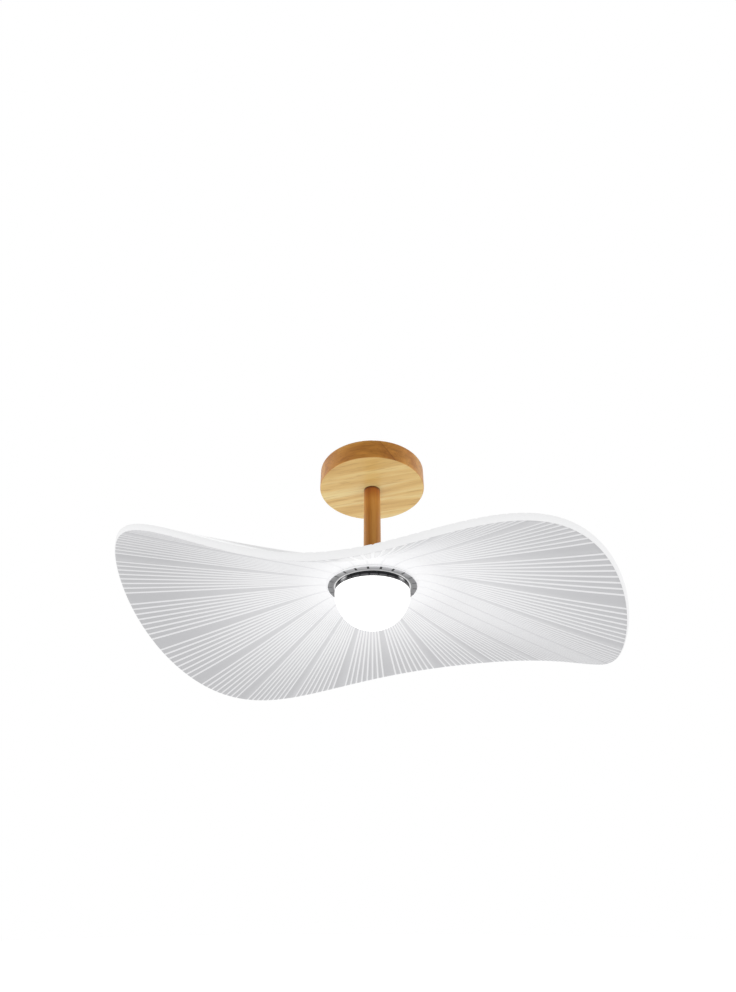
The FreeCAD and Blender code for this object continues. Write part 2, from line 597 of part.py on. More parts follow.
def lead_entries():
    """Where the leads pass the driver's front wall: two outputs in the middle, two inputs beside them."""
    first_input = "(-size.washer_radius - 4 * size.lead_radius)"
    return ["-size.lead_spread", "size.lead_spread", first_input, f"({first_input} - size.way_pitch / 2)"]


def make_leads():
    """Inner wiring: mains to the driver, driver down the tube, connector to the edge strip."""
    front = value("size.driver_offset")
    level = -value("size.lead_level")
    crest = -value("size.lead_crest")
    tail = value("size.lead_tail")
    plug_top = value(WEB_FOOT) + value("size.plug_height")
    tube_wall = value("size.tube_radius")
    bend = tube_wall / 2
    outputs = []
    for side in SIDES:
        x = side * value("size.lead_spread")
        rise = level - crest
        points = [Vector(x, front + tail, level), Vector(x, tube_wall + abs(rise), level),
                  Vector(x, tube_wall, crest), Vector(x, 0, crest), Vector(x, 0, plug_top)]
        outputs.append(lead(points, (bend, bend, bend)))
    leads_node("output_leads", outputs)
    block_front = -value("size.block_offset")
    way_height = value(FLOOR_TOP) + value("size.way_level")
    inputs = []
    for way, entry in zip((0, -1), lead_entries()[2:]):
        start_x = way * value("size.way_pitch")
        end_x = value(entry)
        points = [Vector(start_x, block_front - tail, way_height),
                  Vector(start_x, block_front + tail / 2, way_height),
                  Vector(end_x, -tail, level), Vector(end_x, front + tail, level)]
        inputs.append(lead(points, (tail, 2 * tail)))
    leads_node("input_leads", inputs)
    strip = []
    height = value(STRIP_LEAD_LEVEL)
    for side in SIDES:
        y = side * value("size.pin_spread")
        start = Vector(value("size.plug_length") / 2, y, height)
        widest = value("size.pin_spread + size.lead_radius")
        end = Vector(math.sqrt(value("size.spigot_radius") ** 2 - widest ** 2), y, height)
        strip.append(lead([start, end], ()))
    leads_node("strip_leads", strip)


def make_tube():
    """Hollow threaded tube with nuts and washers that clamp canopy, stem and hub together."""
    length = f"{TUBE_TOP} - {TUBE_FOOT}"
    bar = cylinder("tube_bar", "size.tube_radius", length, z=TUBE_FOOT)
    bore = cylinder("tube_bore", "size.tube_bore", length, z=TUBE_FOOT)
    keep(cut("tube", bar, [bore]), "threaded_tube")
    bush_radius = "(size.tube_bore - size.thread_play)"
    bush_bore = f"({bush_radius} - size.bush_wall)"
    bushes = []
    for end, inward, outward in ((TUBE_TOP, "-", "+"), (TUBE_FOOT, "+", "-")):
        lip = f"({end} {outward} size.bush_lip)"
        foot = f"({end} {inward} size.bush_length)"
        bushes.append(turned("bush", [(bush_bore, lip), ("size.tube_radius", lip), ("size.tube_radius", end),
                                      (bush_radius, end), (bush_radius, foot), (bush_bore, foot)]))
    keep(group("bushes", bushes), "tube_bushes")
    for name, foot in (("top", FLOOR_TOP), ("hub", f"({CHAMBER_TOP} - size.washer_height)")):
        keep(turned(f"{name}_washer_ring", ring_outline(THREAD_HOLE, "size.washer_radius",
                                                        f"({foot} + size.washer_height)", foot)),
             f"{name}_washer")
    for name, foot in (("top", f"({FLOOR_TOP} + size.washer_height)"),
                       ("hub", f"({CHAMBER_TOP} - size.washer_height - size.nut_height)")):
        blank = doc.addObject("Part::Prism", f"{name}_nut_blank")
        blank.Polygon = NUT_SIDE_COUNT
        bind(blank, Circumradius="size.nut_flats / sqrt(3)", Height="size.nut_height")
        place(blank, "0", "0", foot)
        hole = cylinder(f"{name}_nut_hole", THREAD_HOLE, "size.nut_height", z=foot)
        keep(cut(f"{name}_nut_hex", blank, [hole]), f"{name}_nut")


def make_stem():
    """Round wooden stem, bored for the tube."""
    keep(turned("stem_turned", ring_outline(WOOD_HOLE, "size.stem_radius", CANOPY_FOOT, STEM_FOOT)), "stem")


def make_hub():
    """Turned aluminium head: shoulder and flange above the disc, hollow spigot through it."""
    blank = turned("hub_blank", [
        (THREAD_HOLE, STEM_FOOT), ("size.hub_neck", STEM_FOOT), ("size.hub_radius", SHOULDER_FOOT),
        ("size.hub_radius", HUB_SEAT), ("size.spigot_radius", HUB_SEAT), ("size.spigot_radius", RING_TOP),
        ("size.chamber_radius", RING_TOP), ("size.chamber_radius", CHAMBER_TOP), (THREAD_HOLE, CHAMBER_TOP)])
    round_rim(blank, [("size.hub_radius", SHOULDER_FOOT)], "size.hub_round")
    holes = [cylinder("hub_screw_hole", "size.plate_screw_radius + size.thread_play", "size.plate_screw_bite",
                      *on_circle("size.plate_screw_circle", index, PLATE_SCREW_COUNT), RING_TOP)
             for index in plate_screw_turns()]
    for side in SIDES:
        holes.append(cylinder("hub_lead_hole", "size.lead_hole",
                              "size.spigot_radius - size.chamber_radius / 2",
                              "size.chamber_radius / 2", f"{side} * size.pin_spread",
                              STRIP_LEAD_LEVEL, Vector(1, 0, 0)))
    keep(cut("hub_turned", blank, holes), "hub")


def plate_screw_turns():
    """Screw places, half a step round from the edge strip's leads."""
    return [index + 0.5 for index in range(PLATE_SCREW_COUNT)]


def make_edge_light():
    """Strip round the hub's spigot whose chips shine into the disc."""
    foot = f"({DISC_MIDDLE} - size.strip_height / 2)"
    keep(turned("strip_ring", ring_outline("(size.spigot_radius + size.glue_gap)", STRIP_FACE,
                                           f"({foot} + size.strip_height)", foot)), "edge_led_strip")
    chips = []
    count = int(value("size.group_count"))
    for index in range(count):
        turn = 360.0 * index / count
        chip = doc.addObject("Part::Box", "edge_chip")
        bind(chip, Length="size.chip_height", Width="size.chip_width", Height="size.chip_length")
        chip.Placement = Placement(Vector(), Rotation(UP, turn))
        face = f"({STRIP_FACE} + size.glue_gap)"
        place(chip, f"{face} * cos({turn} deg) + size.chip_width / 2 * sin({turn} deg)",
              f"{face} * sin({turn} deg) - size.chip_width / 2 * cos({turn} deg)",
              f"{DISC_MIDDLE} - size.chip_length / 2")
        chips.append(chip)
    keep(group("edge_chips", chips), "edge_leds")


def make_gaskets():
    """Soft washers above and below the disc's flat middle."""
    inner = "(size.disc_hole + size.gasket_inset)"
    keep(turned("gasket_above", ring_outline(inner, "(size.hub_radius - size.gasket_inset)", HUB_SEAT,
                                             f"({HUB_SEAT} - size.gasket_sheet)")), "upper_gasket")
    keep(turned("gasket_below", ring_outline(inner, "(size.ring_radius - size.gasket_inset)",
                                             f"({RING_TOP} + size.gasket_sheet)", RING_TOP)), "lower_gasket")


def edge_height(angle):
    """Height of the disc's formed edge, from its flat middle."""
    height = -value("size.edge_droop")
    for times, name in enumerate(("tilt", "saddle", "lobe", "ripple", "flutter"), 1):
        crest = math.radians(value(f"size.{name}_angle"))
        height += value(f"size.{name}_height") * math.cos(times * (angle - crest))
    return height


def disc_section(angle):
    """Closed radial section of the formed disc; the sheet keeps its length as it bends."""
    hole = value("size.disc_hole")
    flat = value("size.disc_flat")
    length = value("size.disc_radius") - flat
    start_share = value("size.bend_share")
    ease = value("size.edge_ease")
    drop = edge_height(angle)
    radius = flat
    height = 0.0
    under = [(hole + (flat - hole) * step / FLAT_STATION_COUNT, height)
             for step in range(FLAT_STATION_COUNT + 1)]
    steps = BEND_STATION_COUNT * STATION_STEP_COUNT
    last_share = 0.0
    for step in range(1, steps + 1):
        share = (step / steps) ** STATION_CROWDING
        bend = (1 + start_share) * share ** 2 / (share + start_share)
        next_height = drop * bend * (1 + ease * (1 - share))
        radius += math.sqrt((length * (share - last_share)) ** 2 - (next_height - height) ** 2)
        height = next_height
        last_share = share
        if step % STATION_STEP_COUNT == 0:
            under.append((radius, height))
    over = []
    thickness = value("size.disc_sheet")
    for index, (r, z) in enumerate(under):
        before = under[max(index - 1, 0)]
        after = under[min(index + 1, len(under) - 1)]
        slope = math.atan2(after[1] - before[1], after[0] - before[0]) if r > flat else 0.0
        over.append((r - thickness * math.sin(slope), z + thickness * math.cos(slope)))
    return [curve_in_section(angle, under), curve_in_section(angle, over)]


def curve_in_section(angle, profile):
    """Smooth curve through (radius, height) points in the upright plane at an angle."""
    foot = value(DISC_FOOT)
    points = [Vector(r * math.cos(angle), r * math.sin(angle), foot + z) for r, z in profile]
    curve = Part.BSplineCurve()
    curve.interpolate(points)
    return curve


def make_disc():
    """Acrylic disc, cut flat and formed into a wave while hot, with a flat clamped middle."""
    sections = []
    for index in range(SECTION_COUNT):
        under, over = disc_section(2 * math.pi * index / SECTION_COUNT)
        rim = Part.LineSegment(under.EndPoint, over.EndPoint)
        hole = Part.LineSegment(over.StartPoint, under.StartPoint)
        backwards = over.copy()
        backwards.reverse()
        sections.append(Part.Wire([c.toShape() for c in (under, rim, backwards, hole)]))
    disc = doc.addObject("Part::Feature", "formed_disc")
    disc.Shape = Part.makeLoft(sections, True, False, True)
    keep(disc, "light_guide_disc")


def make_ring():
    """Bright trim ring: flange under the disc, collar for the dome, inner web that is clamped."""
    blank = turned("ring_blank", [
        ("size.ring_hole", RING_TOP), ("size.ring_radius", RING_TOP), ("size.ring_radius", RING_FOOT),
        ("size.collar_radius", RING_FOOT), ("size.collar_radius", COLLAR_FOOT), (COLLAR_BORE, COLLAR_FOOT),
        (COLLAR_BORE, WEB_FOOT), ("size.ring_hole", WEB_FOOT)])
    round_rim(blank, [("size.ring_radius", RING_FOOT)], "size.ring_round")
    holes = [cylinder("ring_screw_hole", "size.plate_screw_radius + size.screw_play", "size.ring_web",
                      *on_circle("size.plate_screw_circle", index, PLATE_SCREW_COUNT), WEB_FOOT)
             for index in plate_screw_turns()]
    keep(cut("ring_turned", blank, holes), "trim_ring")


def make_down_light():
    """Plate, pad, board and chips behind the dome, and the connector on the plate."""
    plate = cylinder("plate_blank", "size.plate_radius", "size.plate_sheet", z=PLATE_FOOT)
    plate_holes = []
    plate_screws = []
    for index in plate_screw_turns():
        x, y = on_circle("size.plate_screw_circle", index, PLATE_SCREW_COUNT)
        plate_holes.append(cylinder("plate_screw_hole", "size.plate_screw_radius + size.screw_play",
                                    "size.plate_sheet", x, y, PLATE_FOOT))
        length = "size.plate_sheet + size.ring_web + size.plate_screw_bite"
        plate_screws.append(screw("plate_screw", "size.plate_screw_head", "size.plate_screw_cap",
                                  "size.plate_screw_radius", length, x, y, PLATE_FOOT, UP))
    lamp = cylinder("lamp_blank", "size.lamp_radius", "size.lamp_sheet", z=LAMP_FOOT)
    pad = cylinder("pad_blank", "size.pad_radius", "size.pad_sheet", z=PAD_FOOT)
    lamp_holes = []
    pad_holes = []
    board_screws = []
    for index in range(BOARD_SCREW_COUNT):
        x, y = on_circle("size.lamp_screw_circle", index, BOARD_SCREW_COUNT)
        clear = "size.lamp_screw_radius + size.screw_play"
        lamp_holes.append(cylinder("lamp_screw_hole", clear, "size.lamp_sheet", x, y, LAMP_FOOT))
        pad_holes.append(cylinder("pad_screw_hole", clear, "size.pad_sheet", x, y, PAD_FOOT))
        plate_holes.append(cylinder("plate_board_hole", "size.lamp_screw_radius + size.thread_play",
                                    "size.plate_sheet", x, y, PLATE_FOOT))
        length = "size.lamp_sheet + size.pad_sheet + size.plate_sheet"
        board_screws.append(screw("board_screw", "size.lamp_screw_head", "size.lamp_screw_cap",
                                  "size.lamp_screw_radius", length, x, y, LAMP_FOOT, UP))
    housing = [box("plug_body", "size.plug_length", "size.plug_width", "size.plug_height",
                   "-size.plug_length / 2", "-size.plug_width / 2", WEB_FOOT)]
    for side in SIDES:
        x = f"{side} * size.pin_spread"
        housing.append(cylinder("plug_pin", "size.pin_radius", f"{WEB_FOOT} - {LAMP_FOOT}",
                                x, "0", LAMP_FOOT))
        for holes, sheet_height, foot in ((plate_holes, "size.plate_sheet", PLATE_FOOT),
                                          (pad_holes, "size.pad_sheet", PAD_FOOT),
                                          (lamp_holes, "size.lamp_sheet", LAMP_FOOT)):
            holes.append(cylinder("pin_hole", "size.pin_hole", sheet_height, x, "0", foot))
    keep(cut("plate", plate, plate_holes), "board_plate")
    keep(group("plate_screw_set", plate_screws), "plate_screws")
    keep(cut("pad", pad, pad_holes), "thermal_pad")
    keep(cut("lamp", lamp, lamp_holes), "down_led_board")
    keep(group("board_screw_set", board_screws), "board_screws")
    keep(fuse("plug", housing), "led_connector")
    chips = []
    for circle, count in (("size.lamp_outer", OUTER_CHIP_COUNT), ("size.lamp_inner", INNER_CHIP_COUNT)):
        for index in range(count):
            x, y = on_circle(circle, index + 0.5, count)
            chips.append(box("down_chip", "size.chip_length", "size.chip_width", "size.lamp_chip",
                             f"{x} - size.chip_length / 2", f"{y} - size.chip_width / 2",
                             f"{LAMP_FOOT} - size.lamp_chip"))
    keep(group("down_chips", chips), "down_leds")


def make_dome():
    """Opal dome with a neck that pushes into the collar, and the seal that grips it there."""
    pole = f"({DOME_TOP} - size.dome_radius)"
    inner_radius = "(size.dome_radius - size.dome_wall)"
    inner_pole = f"({DOME_TOP} - {inner_radius})"
    inner_rim = f"({DOME_TOP} - sqrt({inner_radius}^2 - {NECK_BORE}^2))"
    neck_top = f"({DOME_TOP} + size.neck_height)"
    shell = turned("dome_shell", [
        (NECK_BORE, neck_top), (NECK_RADIUS, neck_top), (NECK_RADIUS, DOME_TOP),
        ("size.dome_radius", DOME_TOP), ("0", pole), ("0", inner_pole), (NECK_BORE, inner_rim)], arcs=(3, 5))
    groove = doc.addObject("Part::Torus", "dome_groove")
    bind(groove, Radius1=SEAL_CIRCLE, Radius2="size.seal_radius + size.groove_play")
    place(groove, "0", "0", f"{DOME_TOP} + size.seal_level")
    keep(cut("dome", shell, [groove]), "diffuser_dome")
    seal = doc.addObject("Part::Torus", "seal_ring")
    bind(seal, Radius1=SEAL_CIRCLE, Radius2="size.seal_radius")
    place(seal, "0", "0", f"{DOME_TOP} + size.seal_level")
    keep(seal, "diffuser_seal")


def check_model():
    """Stop if any object failed or any sub-part is not a sound solid."""
    for thing in doc.Objects:
        if "Invalid" in thing.State or "Error" in thing.State:
            raise RuntimeError(f"{thing.Label} failed: {thing.State}")
    for node in nodes:
        if node.Shape.isNull() or not node.Shape.isValid() or not node.Shape.Solids:
            raise RuntimeError(f"{node.Label} is not a sound solid")


def write_parts():
    """One file for each sub-part."""
    os.makedirs("parts", exist_ok=True)
    for node in nodes:
        node.Shape.exportStep(os.path.join("parts", f"{node.Label}.step"))
        box_of_node = node.Shape.BoundBox
        print(f"{node.Label}: {len(node.Shape.Solids)} solids, {node.Shape.Volume:.0f} mm3, "
              f"z {box_of_node.ZMin:.1f} to {box_of_node.ZMax:.1f}")


make_bracket()
make_canopy()
make_earth()
make_terminal()
make_driver()
make_tube()
make_stem()
make_hub()
make_edge_light()
make_gaskets()
make_disc()
make_ring()
make_down_light()
make_dome()
make_leads()
doc.recompute()
check_model()
write_parts()
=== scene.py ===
import json
import math

import bmesh
import bpy
import numpy as np
from mathutils import Matrix, Vector


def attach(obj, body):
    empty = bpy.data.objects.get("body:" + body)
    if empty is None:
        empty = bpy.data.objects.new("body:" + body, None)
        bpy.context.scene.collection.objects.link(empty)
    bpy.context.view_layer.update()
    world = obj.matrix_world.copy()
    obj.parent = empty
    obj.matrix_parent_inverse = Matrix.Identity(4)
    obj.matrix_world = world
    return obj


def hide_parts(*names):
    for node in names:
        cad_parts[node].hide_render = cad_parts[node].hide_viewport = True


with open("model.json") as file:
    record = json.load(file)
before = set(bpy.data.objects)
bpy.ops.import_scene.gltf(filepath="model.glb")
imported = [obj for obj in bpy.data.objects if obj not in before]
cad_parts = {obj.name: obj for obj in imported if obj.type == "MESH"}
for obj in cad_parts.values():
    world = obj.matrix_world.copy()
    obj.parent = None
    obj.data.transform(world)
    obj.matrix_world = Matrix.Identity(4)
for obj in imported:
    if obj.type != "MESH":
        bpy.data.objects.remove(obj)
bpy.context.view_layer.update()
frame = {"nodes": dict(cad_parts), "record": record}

MM = 0.001
IMAGE_HEIGHT = 992

# Camera of the photograph.
FOCAL_PIXELS = 577.3
SENSOR_HEIGHT = 36.0
CENTRE_ROW = 560.0
CAMERA_PLACE = (-4.7 * MM, -542.6 * MM, -424.0 * MM)
CAMERA_PITCH = 29.56

CANOPY_RADIUS = 60.0
# Seam in the canopy's wall: the boards meet where x plus the slope times z is at the offset, and its tones
# spread from the start to the end.
SEAM_SLOPE = 0.75
SEAM_OFFSET = 6.9
SEAM_START = SEAM_OFFSET - 18.0
SEAM_END = SEAM_OFFSET + 18.0
# The wall's painted shade, with its mottle and seam, sets in between these distances from the axis.
WALL_START = CANOPY_RADIUS - 0.8
WALL_END = CANOPY_RADIUS - 0.2
# Painted shade darkens the stem towards the canopy, between these heights, and a narrow painted shadow lies
# where they meet.
STEM_TOP = -24.0
STEM_SHADE_FOOT = -46.0
CONTACT_SHADE_FOOT = -28.0

# The formed acrylic disc, as in the CAD model, in millimetres.
DISC_FOOT = -147.7
DISC_FLAT = 50.0
DISC_RADIUS = 252.0
DISC_SHEET = 5.5
BEND_SHARE = 0.06
EDGE_EASE = 0.1
EDGE_DROOP = 51.8
# Height, crest direction in degrees and times round of each part of the wave.
WAVE = ((22.2, 116.5, 1), (17.3, 42.3, 2), (25.1, 70.6, 3), (7.8, 29.3, 4), (2.6, 19.0, 5))
FORMING_STEPS = 100
# Distances from the axis: the bright halo round the ring, where the light in the disc is at its weakest, and
# where it gathers again in the top face.
HALO_START = 45.0
HALO_END = 95.0
LIGHT_REACH = 235.0
EDGE_GLOW_START = 190.0
# Rings of the disc's mesh: forming steps from one to the next, those of the flat middle, and the rim's.
ROW_STEP = 2
FLAT_ROWS = (36.0, 40.0, 44.0, 46.0, 48.0, 50.0)
RIM_ROUND = 0.7
RIM_LIFTS = (RIM_ROUND, DISC_SHEET / 2, DISC_SHEET - RIM_ROUND)

# Engraved lines: groups of lines with a blank wedge between each two.
GROUPS = 22
LINES = 8
FIRST_WEDGE = 198.6
LINE_PITCH = 1.76
LINE_WIDTH = 2.2
LINE_SHARE = 0.62
LINE_DEPTH = 0.35
LINE_START = 46.0
LINE_CORNERS = 4

# The dome dims a little between these heights, towards its neck.
DOME_GLOW_LOW = -175.0
DOME_GLOW_HIGH = -152.0

# The trim ring: a satin flange, painted brighter on its near side, with a painted highlight as a bright line
# inside and a bright edge, and a polished neck with a painted reflection, dark at its top and paler at its
# foot, and a painted highlight as a bright streak on each side in front.
NECK_RADIUS = 38.4
NECK_REFLECTION_START = -152.7
NECK_REFLECTION_END = -153.4
NECK_HIGHLIGHT_OFFSET = 29.5
HIGHLIGHT_WIDTH = 4.4
HIGHLIGHT_START = -150.2
HIGHLIGHT_END = -150.8
FLANGE_START = NECK_RADIUS + 0.3
FLANGE_FULL = NECK_RADIUS + 0.8
INNER_HIGHLIGHT_FULL = NECK_RADIUS + 1.9
INNER_HIGHLIGHT_END = NECK_RADIUS + 2.5
EDGE_HIGHLIGHT_START = 46.6
EDGE_HIGHLIGHT_FULL = 47.0
FLANGE_NEAR = -44.0
FLANGE_SIDE = -20.0
# Small slots in the underside of the trim ring's flange, one at each blank wedge, drawn as dark marks whose
# darkness is painted shade.
RING_FOOT = -150.2
SLOT_RADIUS = 44.7
SLOT_LENGTH = 4.4
SLOT_WIDTH = 2.2
SLOT_DEPTH = 0.6
SLOT_PROUD = 0.03

# How level the flat end of a screw head is, in millimetres.
HEAD_FLATNESS = 0.02
# Recesses in the screw heads, as shares of the head's radius, and their turn in degrees.
RECESS_LENGTH = 1.5
RECESS_WIDTH = 0.3
RECESS_DEPTH = 0.7
RECESS_TURN = 20.0

# Stage and light, in metres.
FLOOR_LEVEL = -1.3
FLOOR_RADIUS = 14.0
FLOOR_FADE_START = 1.0
FLOOR_FADE_END = 4.5
LIGHT_TARGET = (0.0, 0.0, -0.12)
LIGHT_PLACES = {"left_light": (-1.6, 0.3, -0.1), "right_light": (1.6, 0.3, -0.1)}
LIGHT_SIZE = 0.8
LIGHT_ENERGY = 4.0
# Brightness of the surround, spread over the directions from the lamp's front to its back.
SURROUND = {"From Min": -0.9, "From Max": 0.5, "To Min": 0.15, "To Max": 0.75}


def rgb(red, green, blue):
    """Linear colour with full alpha from an sRGB colour of 0 to 255."""
    def linear(channel):
        share = channel / 255
        return share / 12.92 if share <= 0.04045 else ((share + 0.055) / 1.055) ** 2.4
    return (linear(red), linear(green), linear(blue), 1.0)


WHITE = (1.0, 1.0, 1.0, 1.0)
WARM_WHITE = (1.0, 0.99, 0.97, 1.0)


class Finish:
    """A procedural material under construction."""

    def __init__(self, name, roughness=0.5, metallic=0.0):
        self.material = bpy.data.materials.new(name)
        self.material.use_nodes = True
        self.nodes = self.material.node_tree.nodes
        self.links = self.material.node_tree.links
        self.shader = self.nodes["Principled BSDF"]
        self.shader.inputs["Roughness"].default_value = roughness
        self.shader.inputs["Metallic"].default_value = metallic
        self.place = self.nodes.new("ShaderNodeTexCoord").outputs["Object"]

    def node(self, kind, inputs=(), **settings):
        """A new node with settings, and inputs given by name as values or as sockets to link."""
        made = self.nodes.new(kind)
        for name, setting in settings.items():
            setattr(made, name, setting)
        for name, given in dict(inputs).items():
            if isinstance(given, bpy.types.NodeSocket):
                self.links.new(given, made.inputs[name])
            else:
                made.inputs[name].default_value = given
        return made

    def mapped(self, scale, turn=0.0):
        """Object coordinates turned about Z by degrees and scaled along each axis."""
        turned = self.node("ShaderNodeMapping", {"Vector": self.place,
                                                 "Rotation": (0, 0, math.radians(turn))})
        scaled = self.node("ShaderNodeMapping", {"Vector": turned.outputs["Vector"], "Scale": scale})
        return scaled.outputs["Vector"]

    def noise(self, vector, scale, detail=4.0, distortion=0.0):
        """Grey value of a noise."""
        made = self.node("ShaderNodeTexNoise", {"Vector": vector, "Scale": scale, "Detail": detail,
                                                "Distortion": distortion})
        return made.outputs["Fac"]

    def ramp(self, factor, stops):
        """Colour ramp through (position, colour) stops."""
        made = self.node("ShaderNodeValToRGB", {"Fac": factor})
        elements = made.color_ramp.elements
        elements[0].position, elements[0].color = stops[0]
        elements[1].position, elements[1].color = stops[-1]
        for position, colour in stops[1:-1]:
            elements.new(position).color = colour
        return made.outputs["Color"]

    def mix(self, factor, first, second, blend="MIX"):
        """Two colours mixed."""
        made = self.node("ShaderNodeMix", data_type="RGBA", blend_type=blend)
        for socket, given in ((made.inputs[0], factor), (made.inputs[6], first), (made.inputs[7], second)):
            if isinstance(given, bpy.types.NodeSocket):
                self.links.new(given, socket)
            else:
                socket.default_value = given
        return made.outputs[2]

    def span(self, factor, low, high, start=0.0, end=1.0):
        """A value between start and end spread smoothly over the range from low to high."""
        made = self.node("ShaderNodeMapRange", {"Value": factor, "From Min": start, "From Max": end,
                                                "To Min": low, "To Max": high},
                         interpolation_type="SMOOTHSTEP")
        return made.outputs["Result"]

    def combine(self, operation, first, second=0.0):
        """Result of a sum on one or two values."""
        return self.node("ShaderNodeMath", {0: first, 1: second}, operation=operation).outputs["Value"]

    def along(self, direction):
        """Distance along a direction, in metres."""
        made = self.node("ShaderNodeVectorMath", {0: self.place, 1: direction}, operation="DOT_PRODUCT")
        return made.outputs["Value"]

    def colour(self, given):
        """Base colour of the shader."""
        if isinstance(given, bpy.types.NodeSocket):
            self.links.new(given, self.shader.inputs["Base Color"])
        else:
            self.shader.inputs["Base Color"].default_value = given

    def rough(self, factor, low, high):
        """Roughness that varies with a grey value."""
        self.links.new(self.span(factor, low, high), self.shader.inputs["Roughness"])

    def glow(self, strength, colour=WHITE):
        """Light given off, of a strength from a socket."""
        self.links.new(strength, self.shader.inputs["Emission Strength"])
        self.shader.inputs["Emission Color"].default_value = colour

    def bump(self, factor, distance, strength=0.5):
        """Fine relief from a grey value."""
        made = self.node("ShaderNodeBump", {"Height": factor, "Distance": distance, "Strength": strength})
        self.links.new(made.outputs["Normal"], self.shader.inputs["Normal"])

    def coat(self, weight, roughness):
        """Clear lacquer or polish."""
        self.shader.inputs["Coat Weight"].default_value = weight
        self.shader.inputs["Coat Roughness"].default_value = roughness

    def radius(self):
        """Distance from the axis of the lamp, in metres."""
        flat = self.node("ShaderNodeVectorMath", {0: self.place, 1: (1, 1, 0)}, operation="MULTIPLY")
        length = self.node("ShaderNodeVectorMath", {0: flat.outputs["Vector"]}, operation="LENGTH")
        return length.outputs["Value"]


ACROSS = (1, 0, 0)
FORWARDS = (0, 1, 0)
UPWARDS = (0, 0, 1)
# Painted shade on the canopy's wall.
WALL_SHADE_TONE = rgb(235, 193, 134)
MOTTLE_TONES = ((0.34, rgb(228, 217, 202)), (0.58, WHITE))
SEAM_TONES = ((0.0, WHITE), (0.47, rgb(238, 230, 222)), (0.5, rgb(196, 170, 142)), (0.53, WHITE))
# Painted shade on the stem's top, and a painted contact shadow where the stem meets the canopy.
STEM_SHADE_TONE = rgb(204, 160, 60)
CONTACT_SHADOW_TONE = rgb(125, 100, 70)


def wall_tone(finish, toned):
    """Mottled tone of the canopy's wall, darkened by painted shade, with the seam between two boards."""
    seam = finish.along((1, 0, SEAM_SLOPE))
    across_seam = finish.span(seam, 0.0, 1.0, SEAM_START * MM, SEAM_END * MM)
    mottle = finish.noise(finish.mapped((0.3, 1, 1.4), 15.0), 110.0, detail=4.0, distortion=0.3)
    # Painted shade: the wall's tone multiplied darker.
    edge = finish.mix(1.0, toned, WALL_SHADE_TONE, "MULTIPLY")
    mottled = finish.mix(1.0, edge, finish.ramp(mottle, MOTTLE_TONES), "MULTIPLY")
    joined = finish.mix(1.0, mottled, finish.ramp(across_seam, SEAM_TONES), "MULTIPLY")
    outside = finish.span(finish.radius(), 0.0, 1.0, WALL_START * MM, WALL_END * MM)
    return finish.mix(outside, toned, joined)


def stem_tone(finish, toned):
    """Painted shade that deepens the stem towards the canopy, a painted contact shadow where it meets it,
    and a pale sheen along its sides.
    """
    finish.shader.inputs["Sheen Weight"].default_value = 1.0
    finish.shader.inputs["Sheen Roughness"].default_value = 0.3
    finish.shader.inputs["Sheen Tint"].default_value = rgb(255, 226, 170)
    # Painted shade over the upper stem, then a painted contact shadow at its very top.
    for foot, tone in ((STEM_SHADE_FOOT, STEM_SHADE_TONE), (CONTACT_SHADE_FOOT, CONTACT_SHADOW_TONE)):
        shade_share = finish.span(finish.along(UPWARDS), 0.0, 1.0, foot * MM, STEM_TOP * MM)
        toned = finish.mix(shade_share, toned, finish.mix(1.0, toned, tone, "MULTIPLY"))
    return toned


def wood(name, light, middle, dark, turn, along, across, upright, local_tone):
    """Lacquered wood with streaks, growth bands and pores that run along one direction."""
    finish = Finish(name, roughness=0.42)
    scale = (across, across, along) if upright else (along, across, across)
    grain = finish.mapped(scale, turn)
    streaks = finish.noise(grain, 1.0, detail=6.0, distortion=0.6)
    bands = finish.noise(grain, 0.32, detail=3.0, distortion=1.2)
    fine = finish.noise(grain, 5.0, detail=5.0)
    base = finish.ramp(bands, ((0.30, dark), (0.50, middle), (0.68, light)))
    streaked = finish.mix(finish.ramp(streaks, ((0.38, rgb(78, 78, 78)), (0.62, rgb(0, 0, 0)))), base, dark)
    pores = finish.ramp(fine, ((0.32, rgb(229, 217, 201)), (0.46, WHITE)))
    toned = finish.mix(0.8, streaked, pores, "MULTIPLY")
    finish.colour(local_tone(finish, toned))
    finish.rough(fine, 0.36, 0.52)
    finish.bump(fine, 0.00015, 0.35)
    finish.coat(0.25, 0.25)
    return finish.material


def glowing(name, near, far, base, roughness, gloss, halo=0.0, edge=0.0):
    """Edge-lit acrylic whose light fades from the hub outwards.

    It may have a bright halo round the ring, and may gather again at the edge.
    """
    finish = Finish(name, roughness=roughness)
    cloud = finish.noise(finish.mapped((1, 1, 1)), 9.0, detail=3.0)
    finish.colour(finish.mix(finish.span(cloud, 0.0, 0.06), base, rgb(150, 151, 155)))
    decay = finish.span(finish.radius(), near, far, DISC_FLAT * MM, LIGHT_REACH * MM)
    round_ring = finish.span(finish.radius(), halo, 0.0, HALO_START * MM, HALO_END * MM)
    gathered = finish.span(finish.radius(), 0.0, edge, EDGE_GLOW_START * MM, LIGHT_REACH * MM)
    finish.glow(finish.combine("ADD", finish.combine("ADD", decay, round_ring), gathered))
    finish.shader.inputs["Specular IOR Level"].default_value = gloss
    finish.bump(cloud, 0.0002, 0.1)
    return finish.material


def speckled(name, colour, roughness, metallic=0.0, scale=400.0, vary=0.12, relief=0.00008, coat=0.0):
    """Moulded or plated surface: small tonal variation, uneven gloss and a fine relief."""
    finish = Finish(name, roughness=roughness, metallic=metallic)
    fine = finish.noise(finish.mapped((1, 1, 1)), scale, detail=5.0)
    broad = finish.noise(finish.mapped((1, 1, 1)), scale / 12, detail=2.0)
    shade = tuple(channel * (1 - vary) for channel in colour[:3]) + (1.0,)
    finish.colour(finish.mix(broad, colour, shade))
    finish.rough(fine, roughness * 0.85, roughness * 1.2)
    finish.bump(fine, relief, 0.3)
    if coat:
        finish.coat(coat, 0.1)
    return finish.material


